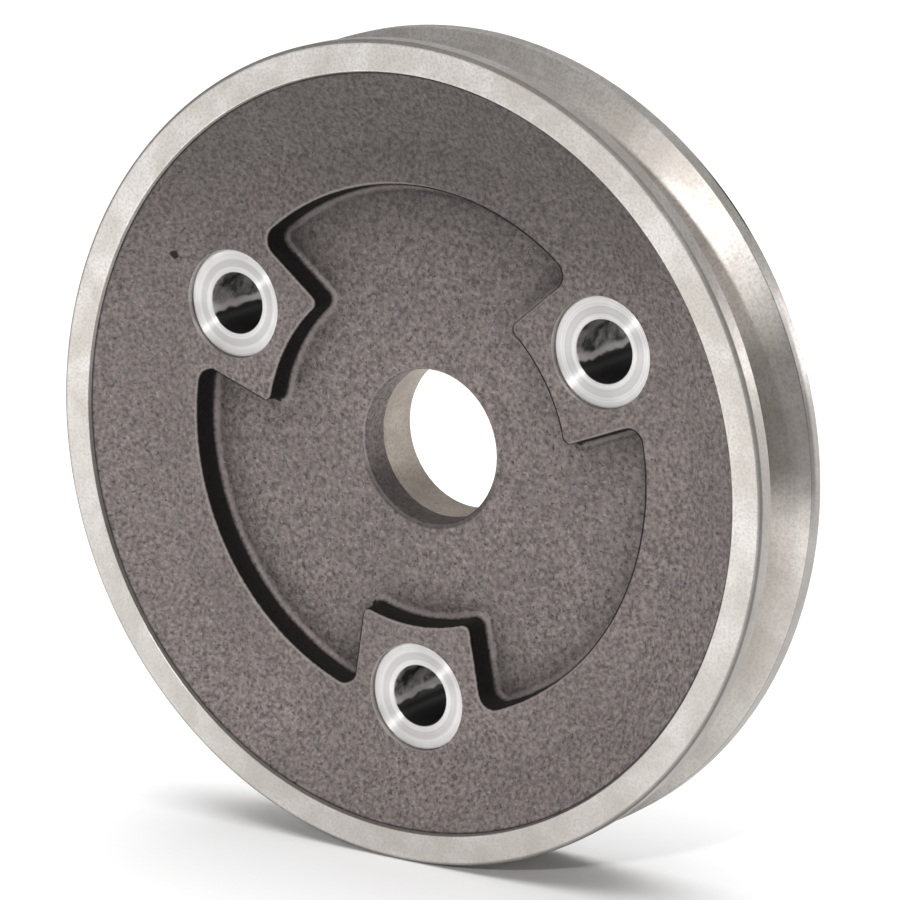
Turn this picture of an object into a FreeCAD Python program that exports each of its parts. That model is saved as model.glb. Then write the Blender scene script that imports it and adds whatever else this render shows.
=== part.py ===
import FreeCAD, Part
import math
import os

os.makedirs("parts", exist_ok=True)

# Bolt-on cast iron V belt pulley, one groove for a B section belt, millimetres.
# +Y is the pulley axis and the dished front face looks along -Y; +Z is up.
# The origin is on the axis, in the middle plane of the belt groove.

# Rim and belt groove
outside_diameter = 190.5
rim_width = 26.6
groove_top_width = 17.6
groove_angle_deg = 38.0
groove_depth = 14.5
groove_floor_radius = 0.9
groove_lip_radius = 0.4
front_corner_radius = 1.5
rear_corner_radius = 0.9

# Turned face of the rim and the dish down to the web
rim_face_width = 7.1
rim_face_step = 0.9
step_draft = 0.2
dish_width = 15.2
web_recess = 7.1
dish_blend_radius = 9.0

# Web, lightening pocket and rear side
rear_recess = 5.3
pocket_depth = 6.7
pocket_beyond_bolts = 3.55
pocket_draft = 0.45
pocket_corner_radius = 3.6
pocket_floor_radius = 1.9
pocket_edge_radius = 0.8
rim_step_edge_radius = 0.25
rear_step = 1.1
rear_dish_width = 12.0

# Tabs of the web that run into the pocket, one around each bolt bush
tab_end_wall = 4.4
tab_side_wall = 2.25
tab_flare = 0.167
tab_tip_radius = 1.9

# Hub
bore_diameter = 36.51
bore_length = 12.0
bore_chamfer = 0.8
cast_lip_inset = 0.25
cast_lip_radius = 0.7
hub_wall = 10.745
hub_draft = 1.0
hub_root_radius = 3.0
hub_projection = 6.7

# Bolt bushes and the bosses that hold them
bush_to_dish = 2.3
bolt_angles_deg = [30.0, 150.0, 270.0]
bush_outside_diameter = 25.4
bush_hole_diameter = 14.29
bush_outer_chamfer = 0.2
bush_hole_chamfer = 0.3
bush_face_recess = 1.6
counterbore_gap = 0.15
counterbore_extra_depth = 0.25
boss_wall = 4.9
boss_draft = 0.9
boss_root_radius = 3.2
rib_thickness = 9.0
rib_height = 8.0
rib_top_radius = 1.5
edge_round = 0.8

# Derived positions along the axis and radii
rim_radius = outside_diameter / 2.0
front_y = -rim_width / 2.0
rear_y = rim_width / 2.0
web_front_y = front_y + web_recess
floor_y = web_front_y + pocket_depth
web_rear_y = rear_y - rear_recess
hub_rear_y = rear_y + hub_projection
rim_inner_radius = rim_radius - rim_face_width
web_outer_radius = rim_inner_radius - dish_width
groove_root_radius = rim_radius - groove_depth
groove_half_top = groove_top_width / 2.0
groove_slope = math.tan(math.radians(groove_angle_deg / 2.0))
groove_half_root = groove_half_top - groove_depth * groove_slope
bore_radius = bore_diameter / 2.0
cast_lip_bore_radius = bore_radius - cast_lip_inset
bore_front_y = hub_rear_y - bore_length
hub_radius = bore_radius + hub_wall
bush_radius = bush_outside_diameter / 2.0
boss_radius = bush_radius + boss_wall
bolt_circle_radius = web_outer_radius - bush_to_dish - bush_radius
pocket_radius = bolt_circle_radius + pocket_beyond_bolts
tab_end_radius = bolt_circle_radius - bush_radius - tab_end_wall
tab_half_width = bush_radius + tab_side_wall
bush_front_y = web_front_y + bush_face_recess
counterbore_y = bush_front_y + counterbore_extra_depth
axis_y = FreeCAD.Vector(0, 1, 0)

# Tolerance for finding edges by position, the overrun of a cutting tool or the depth
# to which an added piece is sunk in the web, and the rounds of the tab side solver
same_place = 1e-4
overrun = 1.0
solver_steps = 40


def rounded_wire(corners):
    """Closed wire of straight lines in the XY plane; each corner is (x, y, radius)."""
    count = len(corners)
    starts = []
    ends = []
    arcs = []
    for i in range(count):
        x, y, radius = corners[i]
        corner = FreeCAD.Vector(x, y, 0)
        before = FreeCAD.Vector(corners[i - 1][0], corners[i - 1][1], 0) - corner
        after = FreeCAD.Vector(corners[(i + 1) % count][0], corners[(i + 1) % count][1], 0) - corner
        before.normalize()
        after.normalize()
        if radius == 0:
            starts.append(corner)
            ends.append(corner)
            arcs.append(None)
            continue
        half = before.getAngle(after) / 2.0
        reach = radius / math.tan(half)
        middle = before + after
        middle.normalize()
        start = corner + before * reach
        end = corner + after * reach
        centre = corner + middle * (radius / math.sin(half))
        starts.append(start)
        ends.append(end)
        arcs.append(Part.Arc(start, centre - middle * radius, end).toShape())
    edges = []
    for i in range(count):
        if arcs[i] is not None:
            edges.append(arcs[i])
        edges.append(Part.makeLine(ends[i], starts[(i + 1) % count]))
    return Part.Wire(edges)


def revolved(corners):
    """Solid of revolution about +Y from corners given as (radius, y, corner radius)."""
    face = Part.Face(rounded_wire(corners))
    return face.revolve(FreeCAD.Vector(0, 0, 0), axis_y, 360)


def cylinder(radius, y_from, y_to):
    base = FreeCAD.Vector(0, y_from, 0)
    return Part.makeCylinder(radius, y_to - y_from, base, axis_y)


def placed(shape, radius, angle_deg):
    """Copy of a shape built on the pulley axis, moved out to a polar position."""
    angle = math.radians(angle_deg)
    copy = shape.copy()
    copy.rotate(FreeCAD.Vector(0, 0, 0), axis_y, -angle_deg)
    copy.translate(FreeCAD.Vector(radius * math.cos(angle), 0, radius * math.sin(angle)))
    return copy


def polar(radius, angle, y):
    return FreeCAD.Vector(radius * math.cos(angle), y, radius * math.sin(angle))


def tab_side_angle(radius, inset):
    """Half angle that a tab spans where its straight side meets a circle."""
    half = tab_half_width + inset
    for step in range(solver_steps):
        along = math.sqrt(radius * radius - half * half)
        half = tab_half_width + inset + tab_flare * (along - tab_end_radius)
    return math.asin(half / radius)


def pocket_outline(inset, y):
    """Outline of the three-lobed pocket at height y, drawn in by inset."""
    outer = pocket_radius - inset
    inner = tab_end_radius - inset
    outer_half = tab_side_angle(outer, inset)
    inner_half = tab_side_angle(inner, inset)
    edges = []
    for angle_deg in bolt_angles_deg:
        here = math.radians(angle_deg)
        following = here + 2.0 * math.pi / len(bolt_angles_deg)
        inner_start = polar(inner, here - inner_half, y)
        inner_mid = polar(inner, here, y)
        inner_end = polar(inner, here + inner_half, y)
        outer_start = polar(outer, here + outer_half, y)
        outer_mid = polar(outer, (here + following) / 2.0, y)
        outer_end = polar(outer, following - outer_half, y)
        next_inner = polar(inner, following - inner_half, y)
        edges.append(Part.Arc(inner_start, inner_mid, inner_end).toShape())
        edges.append(Part.makeLine(inner_end, outer_start))
        edges.append(Part.Arc(outer_start, outer_mid, outer_end).toShape())
        edges.append(Part.makeLine(outer_end, next_inner))
    return Part.Wire(edges)


def upright_edges(block, radius):
    """Edges that run from the mouth of the pocket to its floor, near one radius."""
    found = []
    for edge in block.Edges:
        first = edge.Vertexes[0].Point
        last = edge.Vertexes[-1].Point
        if abs(first.y - last.y) < pocket_depth:
            continue
        middle = (math.hypot(first.x, first.z) + math.hypot(last.x, last.z)) / 2.0
        if abs(middle - radius) < overrun:
            found.append(edge)
    return found


def pocket_cutter():
    """Drafted pocket with rounded corners and a rounded floor edge."""
    slope = pocket_draft / pocket_depth
    mouth = pocket_outline(-overrun * slope, web_front_y - overrun)
    floor = pocket_outline(pocket_draft, floor_y)
    block = Part.makeLoft([mouth, floor], True, True)
    block = block.makeFillet(pocket_corner_radius, upright_edges(block, pocket_radius))
    block = block.makeFillet(tab_tip_radius, upright_edges(block, tab_end_radius))
    floor_edges = []
    for edge in block.Edges:
        if abs(edge.BoundBox.YMin - floor_y) < same_place:
            floor_edges.append(edge)
    return block.makeFillet(pocket_floor_radius, floor_edges)


def casting():
    body = revolved([
        (cast_lip_bore_radius, web_front_y, 0),
        (web_outer_radius, web_front_y, dish_blend_radius),
        (rim_inner_radius - step_draft, front_y + rim_face_step, 0),
        (rim_inner_radius, front_y, rim_step_edge_radius),
        (rim_radius, front_y, front_corner_radius),
        (rim_radius, -groove_half_top, groove_lip_radius),
        (groove_root_radius, -groove_half_root, groove_floor_radius),
        (groove_root_radius, groove_half_root, groove_floor_radius),
        (rim_radius, groove_half_top, groove_lip_radius),
        (rim_radius, rear_y, rear_corner_radius),
        (rim_inner_radius, rear_y, edge_round / 2.0),
        (rim_inner_radius - step_draft, rear_y - rear_step, 0),
        (rim_inner_radius - rear_dish_width, web_rear_y, dish_blend_radius),
        (hub_radius + hub_draft, web_rear_y, hub_root_radius),
        (hub_radius, hub_rear_y, edge_round),
        (bore_radius + bore_chamfer, hub_rear_y, 0),
        (bore_radius, hub_rear_y - bore_chamfer, 0),
        (bore_radius, bore_front_y, 0),
        (cast_lip_bore_radius, bore_front_y, 0),
    ])
    foot_radius = boss_radius + boss_draft + boss_root_radius
    boss = revolved([
        (0, web_rear_y - overrun, 0),
        (foot_radius, web_rear_y - overrun, 0),
        (foot_radius, web_rear_y, 0),
        (boss_radius + boss_draft, web_rear_y, boss_root_radius),
        (boss_radius, hub_rear_y, edge_round),
        (0, hub_rear_y, 0),
    ])
    rib_from = hub_radius - hub_draft
    rib_to = bolt_circle_radius - bush_radius
    rib = Part.makeBox(rib_to - rib_from, rib_height + overrun, rib_thickness)
    rib.translate(FreeCAD.Vector(rib_from, web_rear_y - overrun, -rib_thickness / 2.0))
    rib_top_y = web_rear_y + rib_height
    top_edges = []
    for edge in rib.Edges:
        box = edge.BoundBox
        if abs(box.YMin - rib_top_y) < same_place and box.ZLength < same_place:
            top_edges.append(edge)
    rib = rib.makeFillet(rib_top_radius, top_edges)
    for angle_deg in bolt_angles_deg:
        body = body.fuse(placed(boss, bolt_circle_radius, angle_deg))
        body = body.fuse(placed(rib, 0, angle_deg))
    body = body.removeSplitter()
    bore = cylinder(bore_radius, bore_front_y, hub_rear_y)
    lip_bore = cylinder(cast_lip_bore_radius, web_front_y, hub_rear_y)
    body = body.cut(bore).cut(lip_bore)
    body = body.cut(pocket_cutter())
    rounded = []
    for edge in body.Edges:
        box = edge.BoundBox
        reach = max(abs(box.XMin), abs(box.XMax), abs(box.ZMin), abs(box.ZMax))
        at_web = box.YLength < same_place and abs(box.YMin - web_front_y) < same_place
        if at_web and reach < pocket_radius + overrun:
            rounded.append(edge)
    body = body.makeFillet(pocket_edge_radius, rounded)
    lip = []
    for edge in body.Edges:
        box = edge.BoundBox
        at_floor = box.YLength < same_place and abs(box.YMin - floor_y) < same_place
        if at_floor and box.XMax < bore_radius:
            lip.append(edge)
    body = body.makeFillet(cast_lip_radius, lip)
    seat = cylinder(bush_radius, web_front_y - overrun, hub_rear_y + overrun)
    mouth = cylinder(bush_radius + counterbore_gap, web_front_y - overrun, counterbore_y)
    for angle_deg in bolt_angles_deg:
        body = body.cut(placed(seat.fuse(mouth), bolt_circle_radius, angle_deg))
    return body


def bush():
    hole_radius = bush_hole_diameter / 2.0
    return revolved([
        (hole_radius + bush_hole_chamfer, bush_front_y, 0),
        (bush_radius - bush_outer_chamfer, bush_front_y, 0),
        (bush_radius, bush_front_y + bush_outer_chamfer, 0),
        (bush_radius, hub_rear_y - bush_outer_chamfer, 0),
        (bush_radius - bush_outer_chamfer, hub_rear_y, 0),
        (hole_radius + bush_hole_chamfer, hub_rear_y, 0),
        (hole_radius, hub_rear_y - bush_hole_chamfer, 0),
        (hole_radius, bush_front_y + bush_hole_chamfer, 0),
    ])


pulley_body = casting()
pulley_body.exportStep("parts/pulley_body.step")

bush_names = ["bolt_bush_right", "bolt_bush_left", "bolt_bush_bottom"]
bolt_bush = bush()
for name, angle_deg in zip(bush_names, bolt_angles_deg):
    placed(bolt_bush, bolt_circle_radius, angle_deg).exportStep("parts/" + name + ".step")
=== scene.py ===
import bpy
import math
from mathutils import Matrix, Vector


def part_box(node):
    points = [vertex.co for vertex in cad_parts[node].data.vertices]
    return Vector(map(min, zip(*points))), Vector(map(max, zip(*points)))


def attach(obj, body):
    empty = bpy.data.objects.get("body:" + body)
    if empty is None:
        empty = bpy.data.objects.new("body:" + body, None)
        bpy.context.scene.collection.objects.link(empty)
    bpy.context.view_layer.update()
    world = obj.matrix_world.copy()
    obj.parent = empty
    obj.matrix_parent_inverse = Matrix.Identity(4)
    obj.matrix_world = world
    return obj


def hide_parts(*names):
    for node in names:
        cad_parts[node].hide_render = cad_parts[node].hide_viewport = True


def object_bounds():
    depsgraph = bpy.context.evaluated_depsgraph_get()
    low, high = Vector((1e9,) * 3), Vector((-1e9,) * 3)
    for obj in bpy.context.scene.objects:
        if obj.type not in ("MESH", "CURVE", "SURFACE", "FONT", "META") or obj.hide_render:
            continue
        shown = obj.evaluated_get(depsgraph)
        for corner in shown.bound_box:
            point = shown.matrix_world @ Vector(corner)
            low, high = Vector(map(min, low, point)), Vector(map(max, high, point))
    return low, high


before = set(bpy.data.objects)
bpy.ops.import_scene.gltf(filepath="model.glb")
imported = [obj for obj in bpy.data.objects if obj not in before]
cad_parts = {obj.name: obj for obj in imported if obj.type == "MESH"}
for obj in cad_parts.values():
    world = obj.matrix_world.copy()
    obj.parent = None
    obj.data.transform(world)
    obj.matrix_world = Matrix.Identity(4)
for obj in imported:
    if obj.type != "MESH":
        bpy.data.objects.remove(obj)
cad_lo, cad_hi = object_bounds()
scene = bpy.context.scene
scene.view_settings.view_transform = "Standard"

# Places and sizes that the materials and the set need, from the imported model
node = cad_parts
R = cad_hi.z
FRONT = cad_lo.y
body_lo, body_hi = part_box("pulley_body")
bush_names = ["bolt_bush_right", "bolt_bush_left", "bolt_bush_bottom"]
bush_boxes = [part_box(n) for n in bush_names]
bush_centres = [((lo.x + hi.x) / 2, (lo.z + hi.z) / 2) for lo, hi in bush_boxes]
BUSH_R = (bush_boxes[0][1].x - bush_boxes[0][0].x) / 2
HUB_REAR = body_hi.y


# ---------------------------------------------------------------- node helpers
class Tree:
    """Small helper round a material's node tree."""

    def __init__(self, name):
        self.mat = bpy.data.materials.new(name)
        self.mat.use_nodes = True
        self.nt = self.mat.node_tree
        self.nt.nodes.clear()
        self.out = self.nt.nodes.new("ShaderNodeOutputMaterial")
        self.coord = self.nt.nodes.new("ShaderNodeTexCoord").outputs["Object"]

    def new(self, kind, **props):
        n = self.nt.nodes.new(kind)
        for k, v in props.items():
            setattr(n, k, v)
        return n

    def put(self, socket, value):
        if isinstance(value, bpy.types.NodeSocket):
            self.nt.links.new(value, socket)
        else:
            socket.default_value = value

    def math(self, op, a, b=0.0, c=0.0, clamp=False):
        n = self.new("ShaderNodeMath", operation=op, use_clamp=clamp)
        for i, v in enumerate((a, b, c)):
            if i < len(n.inputs):
                self.put(n.inputs[i], v)
        return n.outputs[0]

    def vmath(self, op, a, b=(0, 0, 0)):
        n = self.new("ShaderNodeVectorMath", operation=op)
        self.put(n.inputs[0], a)
        self.put(n.inputs[1], b)
        return n.outputs["Value"] if op in ("LENGTH", "DOT_PRODUCT", "DISTANCE") else n.outputs[0]

    def step(self, x, lo, hi):
        """0 below lo, 1 above hi, smooth between; lo may be above hi."""
        n = self.new("ShaderNodeMapRange", interpolation_type="SMOOTHSTEP", clamp=True)
        flip = lo > hi
        self.put(n.inputs["Value"], x)
        n.inputs["From Min"].default_value = min(lo, hi)
        n.inputs["From Max"].default_value = max(lo, hi)
        n.inputs["To Min"].default_value = 1.0 if flip else 0.0
        n.inputs["To Max"].default_value = 0.0 if flip else 1.0
        return n.outputs["Result"]

    def remap(self, x, a, b, c, d):
        n = self.new("ShaderNodeMapRange", clamp=True)
        self.put(n.inputs["Value"], x)
        for key, v in zip(("From Min", "From Max", "To Min", "To Max"), (a, b, c, d)):
            n.inputs[key].default_value = v
        return n.outputs["Result"]

    def noise(self, scale, detail=2.0, rough=0.5, vector=None, distortion=0.0):
        n = self.new("ShaderNodeTexNoise")
        self.put(n.inputs["Vector"], self.coord if vector is None else vector)
        n.inputs["Scale"].default_value = scale
        n.inputs["Detail"].default_value = detail
        n.inputs["Roughness"].default_value = rough
        n.inputs["Distortion"].default_value = distortion
        return n.outputs["Fac"]

    def mix(self, fac, a, b):
        n = self.new("ShaderNodeMix", data_type="RGBA")
        self.put(n.inputs[0], fac)
        self.put(n.inputs[6], a)
        self.put(n.inputs[7], b)
        return n.outputs[2]

    def blend(self, fac, a, b):
        """Number between a and b."""
        n = self.new("ShaderNodeMix", data_type="FLOAT")
        self.put(n.inputs[0], fac)
        self.put(n.inputs[2], a)
        self.put(n.inputs[3], b)
        return n.outputs[0]

    def bump(self, height, distance, strength=1.0):
        n = self.new("ShaderNodeBump")
        n.inputs["Strength"].default_value = strength
        n.inputs["Distance"].default_value = distance
        self.put(n.inputs["Height"], height)
        return n.outputs[0]

    def shader(self, **inputs):
        n = self.new("ShaderNodeBsdfPrincipled")
        for k, v in inputs.items():
            self.put(n.inputs[k.replace("_", " ")], v)
        return n.outputs[0]

    def done(self, surface):
        self.put(self.out.inputs["Surface"], surface)
        return self.mat


def grey(v, warm=0.0):
    """Warm grey: red up and blue down by a share of the value."""
    return (v * (1 + warm), v, v * (1 - warm * 0.25), 1.0)


def straw(v, warm):
    """Bare iron: a little red up and more blue down than a warm grey."""
    return (v * (1 + warm * 0.85), v, v * (1 - warm * 0.8), 1.0)


# ---------------------------------------------------------------- the casting
RIM_IN = R - 0.0071
STEP_R = RIM_IN - 0.0002
GROOVE_R = R - 0.0145
LAND = 0.0088
GROOVE_FLOOR = 0.003807
REAR = -FRONT
WEB = FRONT + 0.0071
FLOOR = WEB + 0.0067
BORE_R = 0.018255
BORE_FRONT = HUB_REAR - 0.012
POCKET_R = 0.0615
PIT_FROM_BUSH = (-0.01551, 0.010425)
SEAT_SLACK = 0.00022
CAST, RIM, BORE, SEAT = 0, 1, 2, 3


def rounded_profile(corners, steps=7):
    """Points and outward normals of an open (r, y) profile; each corner is (r, y, radius)."""
    pts = []
    n = len(corners)

    def side(a, b):
        d = (Vector(b[:2]) - Vector(a[:2])).normalized()
        return Vector((-d.y, d.x))

    for k, (r, y, rad) in enumerate(corners):
        if k == 0 or k == n - 1:
            normal = side(corners[0], corners[1]) if k == 0 else side(corners[-2], corners[-1])
            pts.append((Vector((r, y)), normal))
            continue
        n0, n1 = side(corners[k - 1], corners[k]), side(corners[k], corners[k + 1])
        turn = math.atan2(n0.x * n1.y - n0.y * n1.x, n0.dot(n1))
        reach = rad * math.tan(abs(turn) / 2)
        d0 = Vector((n0.y, -n0.x))
        start = Vector((r, y)) - d0 * reach
        sign = 1 if turn > 0 else -1
        centre = start - n0 * rad * -sign
        for i in range(steps + 1):
            a = turn * i / steps
            c, s = math.cos(a), math.sin(a)
            nn = Vector((n0.x * c - n0.y * s, n0.x * s + n0.y * c))
            pts.append((centre + nn * rad * -sign, nn))
    return pts


def lathe(corners, segments=720, steps=7):
    """Vertices, quads and a normal for each vertex of a surface turned about +Y."""
    pts = rounded_profile(corners, steps)
    verts, normals, quads = [], [], []
    for p, n in pts:
        for k in range(segments):
            a = 2 * math.pi * k / segments
            verts.append((p.x * math.cos(a), p.y, p.x * math.sin(a)))
            normals.append((n.x * math.cos(a), n.y, n.x * math.sin(a)))
    for i in range(len(pts) - 1):
        for k in range(segments):
            m = (k + 1) % segments
            near, far = i * segments, (i + 1) * segments
            quads.append((near + k, far + k, far + m, near + m))
    return verts, quads, normals


def outside(verts, quads, normals):
    """Faces turned so that they look the way their vertex normals do."""
    out = []
    for q in quads:
        a, b, c = (Vector(verts[q[i]]) for i in (0, 1, 2))
        face = (b - a).cross(c - b)
        mean = Vector(normals[q[0]]) + Vector(normals[q[2]])
        out.append(q if face.dot(mean) >= 0 else tuple(reversed(q)))
    return out


def casting_region(points):
    """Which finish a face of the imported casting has, or None where the rim's own mesh takes over."""
    rs = [math.hypot(p.x, p.z) for p in points]
    ys = [p.y for p in points]
    if min(rs) > STEP_R - 0.00002:
        return None
    if min(rs) > GROOVE_R - 0.00005 and max(abs(v) for v in ys) < LAND + 0.0001:
        return None
    if max(rs) < BORE_R + 0.0011 and min(ys) > BORE_FRONT - 0.00005:
        return BORE
    if min(ys) > HUB_REAR - 0.00005:
        return BORE
    for cx, cz in bush_centres:
        if max(math.hypot(p.x - cx, p.z - cz) for p in points) < BUSH_R + SEAT_SLACK:
            return SEAT
    return CAST


def make_casting(materials):
    """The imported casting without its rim, and a finely turned rim in its place."""
    mesh = node["pulley_body"].data
    verts = [tuple(v.co) for v in mesh.vertices]
    faces, region, normals = [], [], []
    corner = [tuple(c.vector) for c in mesh.corner_normals]
    for poly in mesh.polygons:
        where = casting_region([mesh.vertices[v].co for v in poly.vertices])
        if where is None:
            continue
        faces.append(tuple(poly.vertices))
        region.append(where)
        normals.extend(corner[i] for i in poly.loop_indices)
    profile = [
        (STEP_R - 0.00012, FRONT + 0.00098, 0),
        (RIM_IN, FRONT, 0.00028),
        (R, FRONT, 0.0010),
        (R, -LAND, 0.0004),
        (GROOVE_R, -GROOVE_FLOOR, 0.0009),
        (GROOVE_R, GROOVE_FLOOR, 0.0009),
        (R, LAND, 0.0004),
        (R, REAR, 0.0009),
        (RIM_IN, REAR, 0.0004),
        (STEP_R - 0.00012, REAR - 0.0012, 0),
    ]
    rim_verts, quads, rim_normals = lathe(profile)
    rim_normals = [tuple(-c for c in n) for n in rim_normals]
    quads = outside(rim_verts, quads, rim_normals)
    base = len(verts)
    verts.extend(rim_verts)
    for q in quads:
        faces.append(tuple(base + v for v in q))
        region.append(RIM)
        normals.extend(rim_normals[v] for v in q)
    out = bpy.data.meshes.new("pulley_casting")
    out.from_pydata(verts, [], faces)
    for m in materials:
        out.materials.append(m)
    out.polygons.foreach_set("material_index", region)
    out.polygons.foreach_set("use_smooth", [True] * len(faces))
    out.normals_split_custom_set(normals)
    out.update()
    obj = bpy.data.objects.new("pulley_casting", out)
    scene.collection.objects.link(obj)
    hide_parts("pulley_body")
    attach(obj, "root")
    return obj


def cast_skin():
    t = Tree("cast_iron_skin")
    xyz = t.new("ShaderNodeSeparateXYZ")
    t.put(xyz.inputs[0], t.coord)
    x, y, z = xyz.outputs
    flat = t.new("ShaderNodeCombineXYZ")
    t.put(flat.inputs[0], x)
    t.put(flat.inputs[1], z)
    radius = t.vmath("LENGTH", flat.outputs[0])
    grain = t.noise(1020, 2.0, 0.55)
    coarse = t.noise(260, 2.0, 0.55)
    pepper = t.noise(1300, 0.5, 0.5)
    patch = t.noise(34, 3.0, 0.55)
    height = t.math("ADD", t.math("MULTIPLY", grain, 0.75), t.math("MULTIPLY", coarse, 0.35))
    tone = t.remap(grain, 0.30, 0.70, 0.0, 1.0)
    skin = t.mix(tone, grey(0.080, 0.19), grey(0.275, 0.18))
    skin = t.mix(t.remap(patch, 0.3, 0.7, 0.0, 0.35), skin, grey(0.125, 0.17))
    skin = t.mix(t.math("MULTIPLY", t.step(pepper, 0.33, 0.25), 0.7), skin, grey(0.03, 0.1))
    skin = t.mix(t.math("MULTIPLY", t.step(pepper, 0.68, 0.76), 0.5), skin, grey(0.36, 0.14))

    # Painted shade: the upper part of the front is made darker towards the top
    painted_top_shade = t.math("MULTIPLY", t.step(z, 0.015, 0.072), t.step(y, FLOOR + 0.002, FLOOR + 0.001))
    skin = t.mix(t.math("MULTIPLY", painted_top_shade, 0.46), skin, grey(0.022, 0.1))

    # Painted light on the pocket: its rounded edges get a painted highlight, its steep walls and
    # the sides of its edges that face left and down get painted shade, and so does the corner below the
    # turned rim
    normal = t.new("ShaderNodeNewGeometry").outputs["Normal"]
    facing = t.math("ABSOLUTE", t.vmath("DOT_PRODUCT", normal, (0, 1, 0)))
    # painted highlight on the rounded edges of the pocket
    painted_edge_highlight = t.math("MULTIPLY", t.step(facing, 0.995, 0.94), t.step(facing, 0.66, 0.80))
    painted_edge_highlight = t.math("MULTIPLY", painted_edge_highlight, t.step(radius, POCKET_R + 0.0025, POCKET_R + 0.0015))
    skin = t.mix(t.math("MULTIPLY", painted_edge_highlight, 0.55), skin, grey(0.30, 0.14))
    # painted shade: steep cast walls outside the bore are made nearly black
    wall = t.math("MULTIPLY", t.step(facing, 0.74, 0.40), t.step(radius, 0.0192, 0.0200))
    # painted shadow along the sides of the pocket edges that face left and down
    painted_edge_shadow = t.step(t.vmath("DOT_PRODUCT", normal, (0.92, 0.0, 0.40)), -0.10, -0.30)
    painted_edge_shadow = t.math("MULTIPLY", painted_edge_shadow, t.step(radius, POCKET_R + 0.0025, POCKET_R + 0.0015))
    wall = t.math("MAXIMUM", wall, t.math("MULTIPLY", painted_edge_shadow, t.step(radius, 0.0205, 0.0215)))
    # painted shade in the corner below the turned rim
    corner = t.step(radius, STEP_R - 0.0007, STEP_R - 0.0002)
    dark = t.math("MAXIMUM", wall, t.math("MULTIPLY", corner, 0.8))
    # the painted shade of walls, edge sides and rim corner, mixed towards near black
    skin = t.mix(t.math("MULTIPLY", dark, 0.95), skin, grey(0.006, 0.0))
    # painted shade on the lower part of the bore's cast front portion
    painted_bore_shade = t.math("MULTIPLY", t.step(radius, 0.0196, 0.0190), t.step(z, -0.002, -0.010))
    skin = t.mix(t.math("MULTIPLY", painted_bore_shade, 0.65), skin, grey(0.03, 0.1))
    # painted shade: ambient occlusion darkens the colour in corners and recesses
    painted_occlusion_shade = t.new("ShaderNodeAmbientOcclusion", samples=6, only_local=True)
    painted_occlusion_shade.inputs["Distance"].default_value = 0.011
    skin = t.mix(t.remap(painted_occlusion_shade.outputs["AO"], 0.45, 0.92, 0.75, 0.0), skin, grey(0.030, 0.1))

    # One blow hole in the web, out beyond the left bush: a bump dent with its inside painted near black
    # as shade
    left = bush_centres[bush_names.index("bolt_bush_left")]
    pit_at = (left[0] + PIT_FROM_BUSH[0], left[1] + PIT_FROM_BUSH[1], 0)
    pit = t.vmath("DISTANCE", flat.outputs[0], pit_at)
    ragged = t.math("ADD", pit, t.math("MULTIPLY", t.math("SUBTRACT", grain, 0.5), 0.0006))
    pit_dent_and_shade = t.math("MULTIPLY", t.step(ragged, 0.00105, 0.00070), t.step(y, WEB + 0.003, WEB + 0.001))
    skin = t.mix(pit_dent_and_shade, skin, grey(0.006, 0.0))
    return t.done(t.shader(
        Base_Color=skin,
        Metallic=0.30,
        Specular_IOR_Level=t.blend(dark, 0.5, 0.08),
        Roughness=t.remap(coarse, 0.3, 0.7, 0.50, 0.66),
        Normal=t.bump(t.math("SUBTRACT", height, pit_dent_and_shade), 0.00045, 0.85),
    ))


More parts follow.
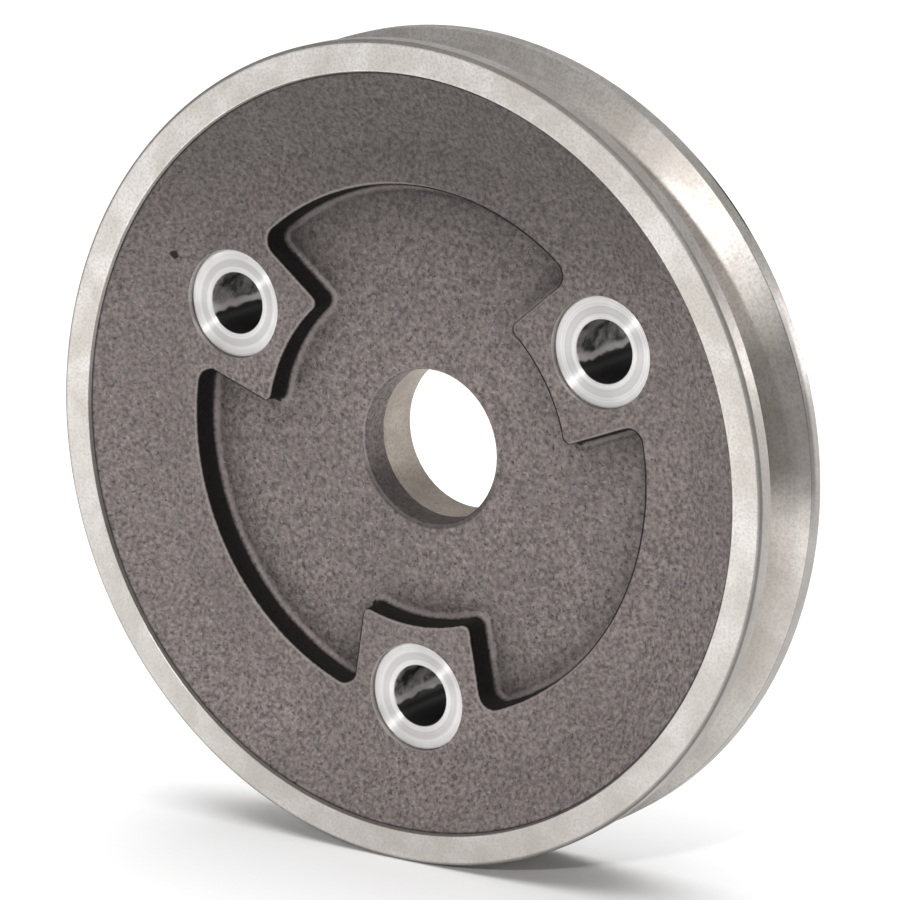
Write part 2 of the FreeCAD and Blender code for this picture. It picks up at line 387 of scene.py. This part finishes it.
def turned_iron(name, light, dark, rough_lo, rough_hi, aniso, metallic, warm=0.05, wall=False):
    """Turned cast iron: rings round the axis, faint stains and flecks; the rim also has painted shade on
    its front corner and lower faces, a painted dark reflection on its rear face, lands darker towards the
    bottom and a darker patch in the groove.
    """
    t = Tree(name)
    xyz = t.new("ShaderNodeSeparateXYZ")
    t.put(xyz.inputs[0], t.coord)
    flat = t.new("ShaderNodeCombineXYZ")
    t.put(flat.inputs[0], xyz.outputs[0])
    t.put(flat.inputs[1], xyz.outputs[2])
    ring_vec = t.new("ShaderNodeCombineXYZ")
    t.put(ring_vec.inputs[0], t.vmath("LENGTH", flat.outputs[0]))
    t.put(ring_vec.inputs[1], xyz.outputs[1])
    rings = t.noise(5200, 3.0, 0.6, ring_vec.outputs[0])
    stain = t.noise(60, 5.0, 0.62, distortion=0.5)
    blotch = t.noise(210, 2.0, 0.55)
    fleck = t.noise(1500, 1.0, 0.5)
    metal = t.mix(t.remap(stain, 0.40, 0.60, 0.0, 1.0), straw(dark, warm + 0.04), straw(light, warm))
    metal = t.mix(t.remap(blotch, 0.50, 0.70, 0.0, 0.35), metal, straw(dark * 0.85, warm + 0.04))
    metal = t.mix(t.remap(rings, 0.35, 0.65, 0.0, 0.35), metal, straw(dark * 0.75, warm + 0.03))
    metal = t.mix(t.remap(fleck, 0.42, 0.70, 0.0, 0.50), metal, straw(dark * 0.66, warm + 0.03))
    if wall:
        normal = t.new("ShaderNodeNewGeometry").outputs["Normal"]
        tangent = t.vmath("CROSS_PRODUCT", normal, (0, 1, 0))
        painted_corner_shade = 0.0
    else:
        tangent = t.new("ShaderNodeTangent", direction_type="RADIAL", axis="Y").outputs[0]
        # painted shade on the rounded front corner of the rim, which is also rougher there
        painted_corner_shade = t.math("MULTIPLY",
                      t.step(ring_vec.inputs[0].links[0].from_socket, R - 0.0010, R - 0.0006),
                      t.step(xyz.outputs[1], FRONT + 0.0011, FRONT + 0.0006))
        metal = t.mix(t.math("MULTIPLY", painted_corner_shade, 0.60), metal, straw(0.12, 0.05))
        around = t.math("ARCTAN2", xyz.outputs[2], xyz.outputs[0])
        # painted dark reflection on the rear face of the rim, in a narrow sector near 40 degrees round
        # the axis
        painted_dark_reflection = t.math("MULTIPLY", t.step(around, 0.60, 0.66), t.step(around, 0.86, 0.74))
        painted_dark_reflection = t.math("MULTIPLY", painted_dark_reflection, t.step(xyz.outputs[1], REAR - 0.0016, REAR - 0.0009))
        metal = t.mix(t.math("MULTIPLY", painted_dark_reflection, 0.95), metal, straw(0.012, 0.0))
        normal = t.new("ShaderNodeNewGeometry").outputs["Normal"]
        facing = t.math("ABSOLUTE", t.vmath("DOT_PRODUCT", normal, (0, 1, 0)))
        # the lands and groove floor are darker towards the bottom
        lands_darker_below = t.math("MULTIPLY", t.step(facing, 0.9, 0.7), t.step(xyz.outputs[2], 0.035, -0.005))
        metal = t.mix(t.math("MULTIPLY", lands_darker_below, 0.70), metal, straw(0.17, 0.07))
        # painted shade: the flat faces and groove walls of the rim darker towards the bottom
        painted_lower_shade = t.math("MULTIPLY", t.step(facing, 0.7, 0.9), t.step(xyz.outputs[2], 0.030, -0.050))
        metal = t.mix(t.math("MULTIPLY", painted_lower_shade, 0.42), metal, straw(0.40, 0.07))
        # A darker patch on the far wall of the groove, on the right
        darker_groove_patch = t.math("MULTIPLY", t.step(around, -0.12, 0.06), t.step(around, 0.52, 0.30))
        darker_groove_patch = t.math("MULTIPLY", darker_groove_patch, t.step(xyz.outputs[1], 0.0005, 0.0030))
        darker_groove_patch = t.math("MULTIPLY", darker_groove_patch, t.step(xyz.outputs[1], REAR - 0.0020, REAR - 0.0035))
        metal = t.mix(t.math("MULTIPLY", darker_groove_patch, 0.62), metal, straw(0.050, 0.06))
    return t.done(t.shader(
        Base_Color=metal,
        Metallic=metallic,
        Roughness=t.math("ADD", t.blend(t.remap(stain, 0.3, 0.7, 0.0, 1.0), rough_hi, rough_lo),
                         t.math("MULTIPLY", painted_corner_shade, 0.25)),
        Anisotropic=aniso,
        Anisotropic_Rotation=0.0 if wall else 0.25,
        Tangent=tangent,
        Normal=t.bump(t.math("ADD", rings, t.math("MULTIPLY", fleck, 0.5)), 0.00003, 0.6),
    ))


# ---------------------------------------------------------------- the bushes
def bush_material(name, centre, seed):
    t = Tree("turned_steel_" + name)
    xyz = t.new("ShaderNodeSeparateXYZ")
    t.put(xyz.inputs[0], t.coord)
    flat = t.new("ShaderNodeCombineXYZ")
    t.put(flat.inputs[0], xyz.outputs[0])
    t.put(flat.inputs[1], xyz.outputs[2])
    radius = t.vmath("DISTANCE", flat.outputs[0], (centre[0], centre[1], 0))
    ring_vec = t.new("ShaderNodeCombineXYZ")
    t.put(ring_vec.inputs[0], radius)
    t.put(ring_vec.inputs[1], xyz.outputs[1])
    ring_vec.inputs[2].default_value = seed
    rings = t.noise(4200, 2.5, 0.6, ring_vec.outputs[0])
    stain = t.noise(150, 3.0, 0.6)
    inside = t.step(radius, 0.0074, 0.0072)
    middle = t.math("MULTIPLY", t.step(radius, 0.0084, 0.0087), t.step(radius, 0.0106, 0.0101))
    metal = t.mix(t.remap(stain, 0.35, 0.68, 0.0, 1.0), grey(0.84, 0.03), grey(0.96, 0.01))
    metal = t.mix(t.math("MULTIPLY", middle, 0.55), metal, grey(0.52, 0.05))
    metal = t.mix(t.remap(rings, 0.35, 0.7, 0.0, 0.35), metal, grey(0.45, 0.03))

    # The reamed wall is blotched dark and brown, with painted shade over its upper half and a painted
    # highlight along one line
    dx = t.math("SUBTRACT", xyz.outputs[0], centre[0])
    dz = t.math("SUBTRACT", xyz.outputs[2], centre[1])
    turn = t.math("ARCTAN2", dz, dx)
    wobble = t.math("MULTIPLY", t.math("SUBTRACT", t.noise(170, 2.0, 0.5), 0.5), 0.45)
    turn = t.math("ADD", turn, wobble)
    # painted highlight: a bright line along the wall
    painted_highlight_line = t.math("MULTIPLY", t.step(turn, -3.05, -2.90), t.step(turn, -2.68, -2.78))
    # painted shade: black over the upper half and beside the highlight on the left
    painted_shade_above = t.math("MAXIMUM", t.step(turn, 0.0, 0.4), t.step(turn, -2.75, -2.85))
    blotches_with_painted_light = t.mix(t.remap(t.noise(230, 3.0, 0.6), 0.40, 0.60, 0.0, 1.0), grey(0.02, 0.05), grey(0.34, 0.10))
    blotches_with_painted_light = t.mix(painted_shade_above, grey(0.012, 0.05), blotches_with_painted_light)
    blotches_with_painted_light = t.mix(t.math("MULTIPLY", painted_highlight_line, 0.75), blotches_with_painted_light, grey(0.70, 0.08))
    metal = t.mix(inside, metal, blotches_with_painted_light)
    tangent = t.new("ShaderNodeTangent", direction_type="RADIAL", axis="Y")
    steel = t.shader(
        Base_Color=metal,
        Metallic=t.blend(inside, 0.42, 0.2),
        Roughness=t.blend(t.remap(stain, 0.3, 0.7, 0.0, 1.0), 0.40, 0.35),
        Anisotropic=1.0,
        Anisotropic_Rotation=0.25,
        Tangent=tangent.outputs[0],
        Normal=t.bump(rings, 0.00002, 0.5),
    )
    return t.done(steel)


make_casting([
    cast_skin(),
    turned_iron("turned_rim", 0.97, 0.74, 0.32, 0.42, 0.5, 0.80),
    turned_iron("bored_iron", 0.46, 0.32, 0.42, 0.52, 0.3, 0.55, 0.16, wall=True),
    turned_iron("counterbore_iron", 0.60, 0.40, 0.30, 0.36, 0.9, 1.0, wall=True),
])
for i, n in enumerate(bush_names):
    node[n].data.materials.clear()
    node[n].data.materials.append(bush_material(n, bush_centres[i], i * 7.0))


# ---------------------------------------------------------------- the set
def floor_material():
    t = Tree("pale_floor")
    cloud = t.noise(3.0, 2.0, 0.5)
    colour = t.mix(cloud, (0.86, 0.86, 0.86, 1), (0.90, 0.90, 0.90, 1))
    return t.done(t.shader(Base_Color=colour, Roughness=0.85, Specular_IOR_Level=0.1))


def make_floor():
    size = 6.0
    mesh = bpy.data.meshes.new("floor")
    corners = [(-size, -size), (size, -size), (size, size), (-size, size)]
    mesh.from_pydata([(a, b, cad_lo.z) for a, b in corners], [], [(0, 1, 2, 3)])
    obj = bpy.data.objects.new("floor", mesh)
    scene.collection.objects.link(obj)
    mesh.materials.append(floor_material())


def area_light(name, direction, distance, width, height, power):
    """Rectangular light in a direction from the pulley's middle, facing it."""
    light = bpy.data.lights.new(name, "AREA")
    light.shape = "RECTANGLE"
    light.size = width
    light.size_y = height
    light.energy = power
    obj = bpy.data.objects.new(name, light)
    scene.collection.objects.link(obj)
    d = Vector(direction).normalized()
    obj.location = d * distance
    obj.rotation_euler = (-d).to_track_quat("-Z", "Y").to_euler()
    return obj


def spot_light(name, direction, distance, radius, aim, cone_deg, power):
    """Round soft light in a direction from the pulley's middle, with a beam that fades outward."""
    light = bpy.data.lights.new(name, "SPOT")
    light.shadow_soft_size = radius
    light.spot_size = math.radians(cone_deg)
    light.spot_blend = 1.0
    light.energy = power
    obj = bpy.data.objects.new(name, light)
    scene.collection.objects.link(obj)
    obj.location = Vector(direction).normalized() * distance
    obj.rotation_euler = (Vector(aim) - obj.location).to_track_quat("-Z", "Y").to_euler()
    return obj


make_floor()
world = bpy.data.worlds.new("soft_studio")
world.use_nodes = True
world.node_tree.nodes["Background"].inputs["Color"].default_value = (1.0, 1.0, 1.0, 1)
world.node_tree.nodes["Background"].inputs["Strength"].default_value = 0.16
scene.world = world
spot_light("key", (0.203, -0.879, 0.432), 1.6, 0.06, (-0.010, 0.0, -0.020), 13.0, 40.0)
area_light("back_right_panel", (0.57, 0.80, 0.17), 1.8, 1.0, 0.45, 3.2)
overhead = area_light("overhead", (0.0, 0.05, 1.0), 2.2, 3.2, 3.2, 100.0)
overhead.visible_glossy = False
wash = area_light("floor_wash", (-0.45, 0.80, 0.62), 1.65, 1.6, 1.6, 5.0)
wash.rotation_euler = (0.0, 0.0, 0.0)
wash.visible_glossy = False


# ---------------------------------------------------------------- the camera
def make_camera():
    az, el, roll = math.radians(34.058), math.radians(13.689), math.radians(-0.56)
    back = Vector((math.sin(az) * math.cos(el), -math.cos(az) * math.cos(el), math.sin(el)))
    right = Vector((math.cos(az), math.sin(az), 0.0))
    up = back.cross(right)
    right2 = right * math.cos(roll) + up * math.sin(roll)
    up2 = up * math.cos(roll) - right * math.sin(roll)
    data = bpy.data.cameras.new("camera")
    data.sensor_width = 36.0
    data.lens = 183.613
    cam = bpy.data.objects.new("camera", data)
    scene.collection.objects.link(cam)
    place = back * 1.04727 + right2 * 0.00494 - up2 * 0.00061
    turn = Matrix((right2, up2, back)).transposed()
    cam.matrix_world = Matrix.Translation(place) @ turn.to_4x4()
    data.clip_start = 0.05
    data.clip_end = 20.0
    scene.camera = cam


make_camera()
